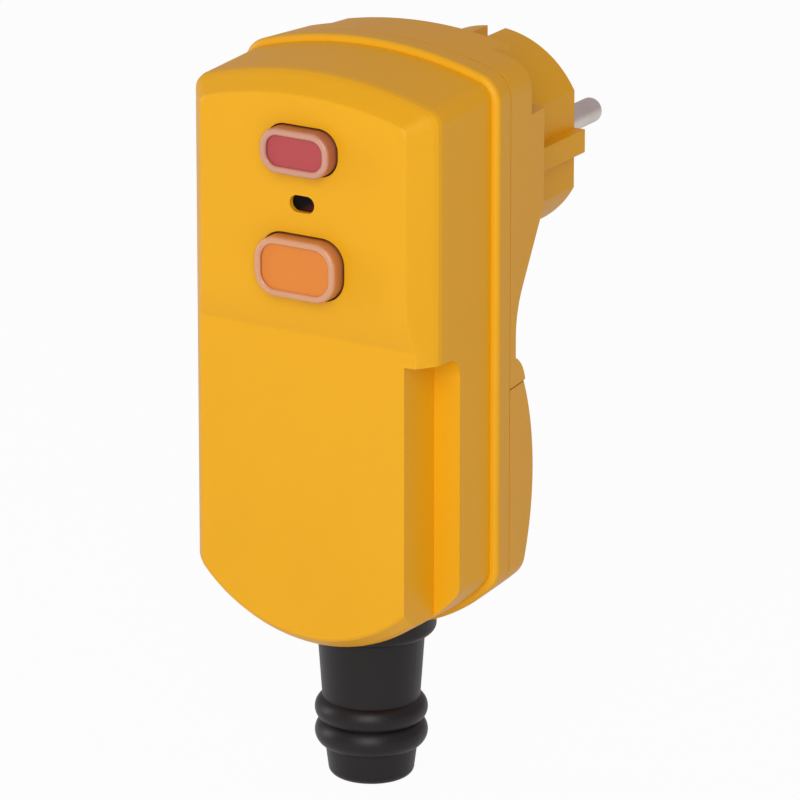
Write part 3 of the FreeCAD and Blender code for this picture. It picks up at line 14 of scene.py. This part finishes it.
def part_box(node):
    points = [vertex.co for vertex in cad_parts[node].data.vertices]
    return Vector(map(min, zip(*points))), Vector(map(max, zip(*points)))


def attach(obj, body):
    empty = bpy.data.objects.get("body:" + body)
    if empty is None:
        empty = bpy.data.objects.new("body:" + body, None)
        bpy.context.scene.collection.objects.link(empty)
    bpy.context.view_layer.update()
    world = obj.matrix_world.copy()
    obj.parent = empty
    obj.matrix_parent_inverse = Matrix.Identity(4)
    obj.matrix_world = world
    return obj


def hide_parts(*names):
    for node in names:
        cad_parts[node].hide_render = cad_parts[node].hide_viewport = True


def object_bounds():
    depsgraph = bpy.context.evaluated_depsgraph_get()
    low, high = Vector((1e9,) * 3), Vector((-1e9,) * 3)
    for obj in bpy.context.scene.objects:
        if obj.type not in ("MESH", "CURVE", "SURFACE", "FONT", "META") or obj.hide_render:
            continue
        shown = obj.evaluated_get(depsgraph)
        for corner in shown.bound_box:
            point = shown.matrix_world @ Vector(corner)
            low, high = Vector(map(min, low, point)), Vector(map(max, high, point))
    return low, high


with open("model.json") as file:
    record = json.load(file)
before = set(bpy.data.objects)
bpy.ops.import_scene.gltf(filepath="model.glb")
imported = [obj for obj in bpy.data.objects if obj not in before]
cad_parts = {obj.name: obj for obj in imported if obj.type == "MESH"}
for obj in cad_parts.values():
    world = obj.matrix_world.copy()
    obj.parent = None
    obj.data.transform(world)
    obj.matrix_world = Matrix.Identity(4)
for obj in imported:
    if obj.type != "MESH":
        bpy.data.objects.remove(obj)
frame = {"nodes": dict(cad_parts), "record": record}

cad_box = [list(corner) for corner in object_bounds()]
MM = 0.001
print("nodes", len(frame["nodes"]), "box", cad_box)

# %% [markdown]
# The camera stands where the photographer stood. Fitting the housing's straight edges gave a long lens,
# well to the right of the keys and a little above them, so the tower hardly narrows with distance.

# %% Camera
camera_data = bpy.data.cameras.new("camera")
camera = bpy.data.objects.new("camera", camera_data)
bpy.context.scene.collection.objects.link(camera)
bpy.context.scene.camera = camera
camera.location = (0.70014, -1.17779, 0.39386)
camera.rotation_mode = "QUATERNION"
camera.rotation_quaternion = Vector((-0.49652, 0.81055, -0.31061)).to_track_quat("-Z", "Y")
camera_data.sensor_width = 36.0
camera_data.lens = 344.49
camera_data.clip_start = 0.05
print("lens", camera_data.lens, "mm on a", camera_data.sensor_width, "mm sensor")

# %% [markdown]
# Every material is a small graph of nodes. Two helpers keep them readable: one lets a socket be used in
# plain sums, the other holds a material and makes each of its nodes with a single call.

# %% Shader maths
class Quantity:
    """A socket that can be used in plain sums."""

    def __init__(self, recipe, socket):
        self.recipe = recipe
        self.socket = socket

    def math(self, operation, other, flipped=False):
        first, second = (other, self) if flipped else (self, other)
        return self.recipe.node("ShaderNodeMath", {"operation": operation}, {0: first, 1: second})

    def __add__(self, other):
        return self.math("ADD", other)

    def __sub__(self, other):
        return self.math("SUBTRACT", other)

    def __rsub__(self, other):
        return self.math("SUBTRACT", other, True)

    def __mul__(self, other):
        return self.math("MULTIPLY", other)

    def __truediv__(self, other):
        return self.math("DIVIDE", other)


class Recipe:
    """One material and the nodes that it is cooked from."""

    def __init__(self, name):
        self.material = bpy.data.materials.new(name)
        self.material.use_nodes = True
        self.tree = self.material.node_tree
        self.surface = self.tree.nodes["Principled BSDF"]
        self.place = self.node("ShaderNodeTexCoord", {}, {}, "Object")

    def node(self, kind, settings, sockets, output=0):
        made = self.tree.nodes.new(kind)
        for key, value in settings.items():
            if key == "stops":
                self.set_stops(made.color_ramp, value)
            else:
                setattr(made, key, value)
        for key, value in sockets.items():
            self.feed(made.inputs[key], value)
        return Quantity(self, made.outputs[output])

    def set_stops(self, ramp, stops):
        while len(ramp.elements) < len(stops):
            ramp.elements.new(0.5)
        for element, (position, colour) in zip(ramp.elements, stops):
            element.position = position
            element.color = (*colour, 1.0)

    def feed(self, socket, value):
        if isinstance(value, Quantity):
            self.tree.links.new(value.socket, socket)
        elif isinstance(value, (tuple, list)) and len(socket.default_value) == 4:
            socket.default_value = (*value, 1.0)
        else:
            socket.default_value = value

    def noise(self, scale, detail=2.0, vector=None):
        sockets = {"Vector": vector or self.place, "Scale": scale, "Detail": detail}
        return self.node("ShaderNodeTexNoise", {}, sockets, "Fac")

    def stretched(self, scale):
        return self.node("ShaderNodeVectorMath", {"operation": "MULTIPLY"}, {0: self.place, 1: scale})

    def axis(self, name):
        return self.node("ShaderNodeSeparateXYZ", {}, {"Vector": self.place}, name)

    def blend(self, factor, first, second):
        """Mix two colours. A mix node keeps its colour sockets at 6 and 7, and its colour result at 2."""
        settings = {"data_type": "RGBA", "blend_type": "MIX"}
        return self.node("ShaderNodeMix", settings, {"Factor": factor, 6: first, 7: second}, 2)

    def bump(self, height, strength, distance):
        sockets = {"Height": height, "Strength": strength, "Distance": distance}
        self.set(Normal=self.node("ShaderNodeBump", {}, sockets, "Normal"))

    def set(self, **sockets):
        for name, value in sockets.items():
            self.feed(self.surface.inputs[name.replace("_", " ")], value)


def colour(text):
    """A screen colour such as f0a428 as the linear colour that shaders use."""
    channels = [int(text[i:i + 2], 16) / 255 for i in (0, 2, 4)]
    return tuple(c / 12.92 if c < 0.04045 else ((c + 0.055) / 1.055) ** 2.4 for c in channels)


# %% [markdown]
# A studio for a small plastic part is a white table, a large soft lamp near the camera, a narrow cool lamp
# on the left that draws a sheen on the black sleeve, and a weak warm light from all round. The floor lies
# under the mouth of the cord sleeve. The camera sees it almost white, and it still takes a faint shadow.

# %% Floor
FLOOR_GAP = 0.2 * MM


def table():
    floor_mesh = bpy.data.meshes.new("floor")
    plane = bmesh.new()
    bmesh.ops.create_grid(plane, x_segments=1, y_segments=1, size=3.0)
    bmesh.ops.translate(plane, vec=(0, 0, cad_box[0][2] - FLOOR_GAP), verts=plane.verts)
    plane.to_mesh(floor_mesh)
    plane.free()
    floor = bpy.data.objects.new("floor", floor_mesh)
    bpy.context.scene.collection.objects.link(floor)
    paper = Recipe("paper")
    paper.set(Base_Color=(0.82, 0.82, 0.82), Roughness=0.9)
    glow = paper.node("ShaderNodeEmission", {}, {"Color": (1.0, 1.0, 1.0), "Strength": 1.0})
    seen = paper.node("ShaderNodeLightPath", {}, {}, "Is Camera Ray")
    shine = paper.node("ShaderNodeLightPath", {}, {}, "Is Glossy Ray")
    body = Quantity(paper, paper.surface.outputs[0])
    mixed = paper.node("ShaderNodeMixShader", {}, {0: seen * 0.96 + shine * 0.5, 1: body, 2: glow})
    paper.tree.links.new(mixed.socket, paper.tree.nodes["Material Output"].inputs["Surface"])
    floor.data.materials.append(paper.material)
    print("floor at", round((cad_box[0][2] - FLOOR_GAP) / MM, 1), "mm")


table()

# %% Lamps
HEART = Vector((0, -0.045, -0.03))
LAMP_DISTANCE = 0.9
LAMPS = [
    # name, direction from the plug, width and height, watts, tint
    ("softbox", (0.38, -0.84, 0.40), (0.55, 0.75), 4.7, (1.0, 1.0, 1.0)),
    ("strip", (-0.93, -0.30, 0.12), (0.12, 0.60), 2.2, (0.86, 0.93, 1.0)),
]
for name, direction, size, energy, tint in LAMPS:
    lamp_data = bpy.data.lights.new(name, "AREA")
    lamp_data.shape = "RECTANGLE"
    lamp_data.size, lamp_data.size_y = size
    lamp_data.energy = energy
    lamp_data.color = tint
    lamp = bpy.data.objects.new(name, lamp_data)
    bpy.context.scene.collection.objects.link(lamp)
    towards = Vector(direction).normalized()
    lamp.location = HEART + towards * LAMP_DISTANCE
    lamp.rotation_mode = "QUATERNION"
    lamp.rotation_quaternion = (-towards).to_track_quat("-Z", "Y")
    print("lamp", name, energy, "W")

# %% World
FILL_TINT = (1.0, 0.87, 0.92, 1.0)
FILL_STRENGTH = 0.43


def surroundings():
    world = bpy.data.worlds.new("studio")
    bpy.context.scene.world = world
    world.use_nodes = True
    tree = world.node_tree
    fill = tree.nodes["Background"]
    fill.inputs["Color"].default_value = FILL_TINT
    fill.inputs["Strength"].default_value = FILL_STRENGTH
    white = tree.nodes.new("ShaderNodeBackground")
    path = tree.nodes.new("ShaderNodeLightPath")
    mix = tree.nodes.new("ShaderNodeMixShader")
    tree.links.new(path.outputs["Is Camera Ray"], mix.inputs[0])
    tree.links.new(fill.outputs[0], mix.inputs[1])
    tree.links.new(white.outputs[0], mix.inputs[2])
    tree.links.new(mix.outputs[0], tree.nodes["World Output"].inputs["Surface"])


surroundings()
bpy.context.scene.view_settings.view_transform = "Standard"
print("world fill", FILL_STRENGTH)

# %% [markdown]
# The housing is moulded from a bright yellow-orange plastic. Its mould was spark-eroded, which leaves
# a fine even grain, so the gloss is broken up and large faces look satin. Two noises do this: a cloudy
# one shifts the colour a little, and a fine one drives both the roughness and the bump.

# %% Moulded plastic
def moulded(name, tint, roughness, grain=1.0, coat=0.0, shine=0.35):
    recipe = Recipe(name)
    base = colour(tint)
    deep = tuple(c * 0.94 for c in base)
    cloud = recipe.noise(38.0, 3.0)
    recipe.set(Base_Color=recipe.blend(cloud, deep, base))
    fine = recipe.noise(2600.0, 2.0)
    recipe.set(Roughness=fine * 0.12 + (roughness - 0.06), Coat_Weight=coat, Coat_Roughness=0.22)
    recipe.set(Specular_IOR_Level=shine)
    recipe.bump(fine + recipe.noise(420.0, 1.0) * 0.5, 0.12 * grain, 0.05 * MM)
    return recipe.material


# %% [markdown]
# The caps over the keys are clear rubber with a tint. How light enters the front rim and dies out further
# in is painted:
# the rim is a pale painted highlight, and the side wall turns deep towards the housing in painted shade. A
# ramp along Y draws that fade in the base colour.

# %% Tinted caps with painted shade
# the fade that these two set is painted light and shade in the caps' colour
CAP_FRONT = 71.4 * MM     # how far the caps' fronts stand out
CAP_FADE = 3.4 * MM       # the depth over which their tint turns deep


def tinted_and_shaded(name, rim, wall, root):
    recipe = Recipe(name)
    fade = (recipe.axis("Y") + CAP_FRONT) / CAP_FADE
    stops = [(0.0, colour(rim)), (0.22, colour(wall)), (1.0, colour(root))]
    # painted light and shade: pale at the front rim, turning deep towards the housing
    shade = recipe.node("ShaderNodeValToRGB", {"stops": stops}, {"Fac": fade}, "Color")
    bloom = recipe.noise(300.0, 3.0)
    recipe.set(Base_Color=recipe.blend(bloom * 0.2, shade, colour(rim)), Roughness=bloom * 0.1 + 0.26)
    recipe.set(Coat_Weight=0.35, Coat_Roughness=0.2, Subsurface_Weight=0.12, Subsurface_Scale=0.6 * MM)
    recipe.bump(recipe.noise(1500.0, 1.0), 0.05, 0.03 * MM)
    return recipe.material


# %% [markdown]
# The status window is nearly black: the lens's own smoky tint, darkened further by painted shade of the
# deep slot behind it. Its lower right corner lets a little of the red flag through, so a ramp that runs
# across the window in X and Z warms that corner.

# %% Smoked window with painted shade
def smoked_and_shaded(name, dark, warm):
    recipe = Recipe(name)
    low, high = [Vector(corner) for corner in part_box("window_lens")]
    across = (recipe.axis("X") - low.x) / (high.x - low.x)
    down = (high.z - recipe.axis("Z")) / (high.z - low.z)
    stops = [(0.55, colour(dark)), (0.95, colour(warm))]
    # painted shade of the slot behind the lens: near black at the upper left, warming to the red flag at
    # the lower right
    shade_to_flag = recipe.node("ShaderNodeValToRGB", {"stops": stops}, {"Fac": (across + down) * 0.5}, "Color")
    recipe.set(Base_Color=shade_to_flag, Roughness=recipe.noise(500.0) * 0.1 + 0.3, Specular_IOR_Level=0.1)
    return recipe.material


# %% [markdown]
# Metal parts are drawn, turned or stamped. Fine lines that follow the tool make their shine stretch.

# %% Metals
def metal(name, tint, roughness, lines=(900.0, 60.0, 900.0)):
    recipe = Recipe(name)
    base = colour(tint)
    streak = recipe.noise(1.0, 3.0, recipe.stretched(lines))
    worn = recipe.noise(160.0, 4.0)
    dark = tuple(c * 0.72 for c in base)
    recipe.set(Base_Color=recipe.blend(worn, dark, base), Metallic=1.0)
    recipe.set(Roughness=streak * 0.22 + (roughness - 0.11))
    recipe.bump(streak, 0.08, 0.02 * MM)
    return recipe.material


# %% [markdown]
# The sleeve is soft rubber: nearly black with a cool sheen, and a fine matt skin.

# %% Rubber
def rubber(name, tint, roughness):
    recipe = Recipe(name)
    base = colour(tint)
    pale = tuple(min(1.0, c * 1.5) for c in base)
    dust = recipe.noise(90.0, 5.0)
    recipe.set(Base_Color=recipe.blend(dust, base, pale), Roughness=dust * 0.15 + (roughness - 0.07))
    recipe.set(Specular_IOR_Level=0.35)
    recipe.bump(recipe.noise(1800.0, 2.0), 0.15, 0.05 * MM)
    return recipe.material


# %% [markdown]
# The palette gives every slot of the technical model one finish. Colours are written as they should
# look on the screen, and each node of the frame then gets the finish of its slot.

# %% Finishes
finishes = {
    "housing": moulded("housing plastic", "f2b20e", 0.42),
    "test_red": moulded("red key plastic", "b84a4c", 0.38, 0.5, 0.2),
    "test_cap": tinted_and_shaded("red cap rubber", "cf9a80", "ad5d48", "6c2b1d"),
    "reset_orange": moulded("orange key plastic", "e6882f", 0.38, 0.5, 0.2),
    "reset_cap": tinted_and_shaded("orange cap rubber", "d8a077", "c77a45", "7d4019"),
    "lens": smoked_and_shaded("smoked lens", "080404", "5a211d"),
    "flag": moulded("flag plastic", "8c1c12", 0.4),
    "insulation": moulded("black insulation", "1c1c1f", 0.5),
    "frame": moulded("grey frame plastic", "b8b3a6", 0.5),
    "rubber": rubber("sleeve rubber", "151213", 0.42),
    "seal": rubber("seal rubber", "303033", 0.7),
    "nickel": metal("nickel plate", "f6efe6", 0.45),
    "steel": metal("zinc plate", "b9bcc0", 0.35),
    "spring": metal("spring wire", "c4c6ca", 0.3),
    "brass": metal("brass strip", "d3aa58", 0.3),
    "copper": metal("enamelled copper", "b8683a", 0.4, (60.0, 60.0, 3000.0)),
    "board": moulded("board laminate", "2f6b45", 0.35, 0.5, 0.3),
    "core": rubber("ferrite", "3c3a38", 0.7),
    "component": moulded("dipped epoxy", "3d6fae", 0.3, 0.4, 0.3),
}
for entry in frame["record"]["subparts"]:
    node = frame["nodes"][entry["node"]]
    node.data.materials.clear()
    node.data.materials.append(finishes[entry["material_slot"]])

# %% [markdown]
# A key is a hard coloured plate in a soft cap, and both have moulded, rounded edges that catch the light.
# The technical model has them as sharp blocks, so they are modelled again in the same place: a cube with
# its four upright edges bevelled gives the rounded outline, and insets and extrusions add the steps.

# %% Rounded plates
SHARP_ANGLE = math.radians(35)


def rounded_plate(half, rise, corner, middle, front, back):
    """A block with rounded corners, its front looking along -Y. Sizes are in millimetres."""
    plate = bmesh.new()
    bmesh.ops.create_cube(plate, size=2.0)
    bmesh.ops.scale(plate, vec=(half, (front - back) / 2, rise), verts=plate.verts)
    bmesh.ops.translate(plate, vec=(0, -(front + back) / 2, middle), verts=plate.verts)
    upright = [edge for edge in plate.edges if abs(edge.verts[0].co.y - edge.verts[1].co.y) > 0.01]
    bmesh.ops.bevel(plate, geom=upright, offset=corner, segments=14, profile=0.5, material=-1,
                    affect="EDGES")
    return plate


def front_face(mesh):
    """The foremost face that looks along -Y, the largest one where several lie level."""
    mesh.normal_update()
    facing = [face for face in mesh.faces if face.normal.y < -0.99]
    return min(facing, key=lambda face: (round(face.calc_center_median().y, 2), -face.calc_area()))


def drawn(mesh, face, height, draft=1.0, middle=0.0):
    """Draw a front face out by a height, and a little smaller or larger by draft."""
    made = bmesh.ops.extrude_face_region(mesh, geom=[face])
    bmesh.ops.delete(mesh, geom=[face], context="FACES_ONLY")
    points = [item for item in made["geom"] if isinstance(item, bmesh.types.BMVert)]
    bmesh.ops.translate(mesh, vec=(0, -height, 0), verts=points)
    bmesh.ops.scale(mesh, vec=(draft, 1, draft), verts=points, space=Matrix.Translation((0, 0, -middle)))
    return next(item for item in made["geom"] if isinstance(item, bmesh.types.BMFace))


def softened(mesh, face, size):
    """Round the edges of a face."""
    bmesh.ops.bevel(mesh, geom=list(face.edges), offset=size, segments=4, profile=0.5, material=-1,
                    affect="EDGES")


def finished(name, mesh, slot, body, node):
    """Turn a bmesh in millimetres into a piece that rides on a body and replaces a CAD node."""
    bmesh.ops.scale(mesh, vec=(MM, MM, MM), verts=mesh.verts)
    bmesh.ops.recalc_face_normals(mesh, faces=mesh.faces)
    for face in mesh.faces:
        face.smooth = True
    data = bpy.data.meshes.new(name)
    mesh.to_mesh(data)
    mesh.free()
    data.set_sharp_from_angle(angle=SHARP_ANGLE)
    data.materials.append(finishes[slot])
    piece = bpy.data.objects.new(name, data)
    bpy.context.scene.collection.objects.link(piece)
    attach(piece, body)
    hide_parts(node)
    print(name, len(data.polygons), "faces")


# %% [markdown]
# Each cap is drawn out of a wider foot, softened at its front and sunk again to a pocket, where the key
# lies. The key has a shallow dish in its front and a stem that reaches back to the mechanism.

# %% Caps and keys
def span(node):
    """Middle, half sizes and depth range of a node's box in millimetres."""
    low, high = [Vector(corner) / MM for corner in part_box(node)]
    return (low + high) / 2, (high - low) / 2, -low.y, -high.y


# all in millimetres
FLANGE = 1.2            # how far the cap's foot spreads under the housing, and its thickness
FLANGE_EASE = 0.12      # how much of that spread the wall takes back
WALL_DRAFT = 0.972      # share of the foot's size that is left at the cap's front
CAP_ROUND = 0.55        # rounding of the cap's front edge
POCKET_RIM = 0.5        # flat rim round the pocket
POCKET_SLOPE = 0.25     # sloped edge inside that rim, as wide as deep
POCKET_DEPTH = 1.6
PLATE = 2.0             # thickness of a key's coloured plate
PLATE_CORNER = 1.0      # how much tighter its corners are than the cap's
PLATE_ROUND = 0.35
DISH_RIM = 1.2          # flat rim round the dish in a key's front
DISH_DEPTH = 0.12
STEM = 1.8              # radius of a key's stem


def cap_and_key(kind, corner):
    """The soft cap and the hard key in it, both riding on the button's body."""
    middle, half, front, back = span(f"{kind}_key_cap")
    shell = rounded_plate(half.x, half.z, corner + FLANGE, middle.z, back + FLANGE, back)
    seat = front_face(shell)
    bmesh.ops.inset_region(shell, faces=[seat], thickness=FLANGE - FLANGE_EASE, use_even_offset=True)
    top = drawn(shell, seat, front - back - FLANGE, WALL_DRAFT, middle.z)
    softened(shell, top, CAP_ROUND)
    pocket = front_face(shell)
    bmesh.ops.inset_region(shell, faces=[pocket], thickness=POCKET_RIM, use_even_offset=True)
    bmesh.ops.inset_region(shell, faces=[pocket], thickness=POCKET_SLOPE, depth=-POCKET_SLOPE,
                           use_even_offset=True)
    drawn(shell, pocket, -POCKET_DEPTH)
    finished(f"{kind}_cap_shell", shell, f"{kind}_cap", f"{kind}_button", f"{kind}_key_cap")

    _, key_half, key_front, key_back = span(f"{kind}_key")
    plate = rounded_plate(key_half.x, key_half.z, corner - PLATE_CORNER, middle.z,
                          key_front, key_front - PLATE)
    softened(plate, front_face(plate), PLATE_ROUND)
    bmesh.ops.inset_region(plate, faces=[front_face(plate)], thickness=DISH_RIM, depth=-DISH_DEPTH,
                           use_even_offset=True)
    length = key_front - PLATE - key_back
    stem = bmesh.ops.create_cone(plate, cap_ends=True, segments=32, radius1=STEM, radius2=STEM,
                                 depth=length)
    turn = Matrix.Rotation(math.radians(90), 3, "X")
    bmesh.ops.rotate(plate, cent=(0, 0, 0), matrix=turn, verts=stem["verts"])
    bmesh.ops.translate(plate, vec=(0, -(key_back + length / 2), middle.z), verts=stem["verts"])
    slot = "test_red" if kind == "test" else "reset_orange"
    finished(f"{kind}_key_plate", plate, slot, f"{kind}_button", f"{kind}_key")


cap_and_key("test", 3.7)
cap_and_key("reset", 4.4)
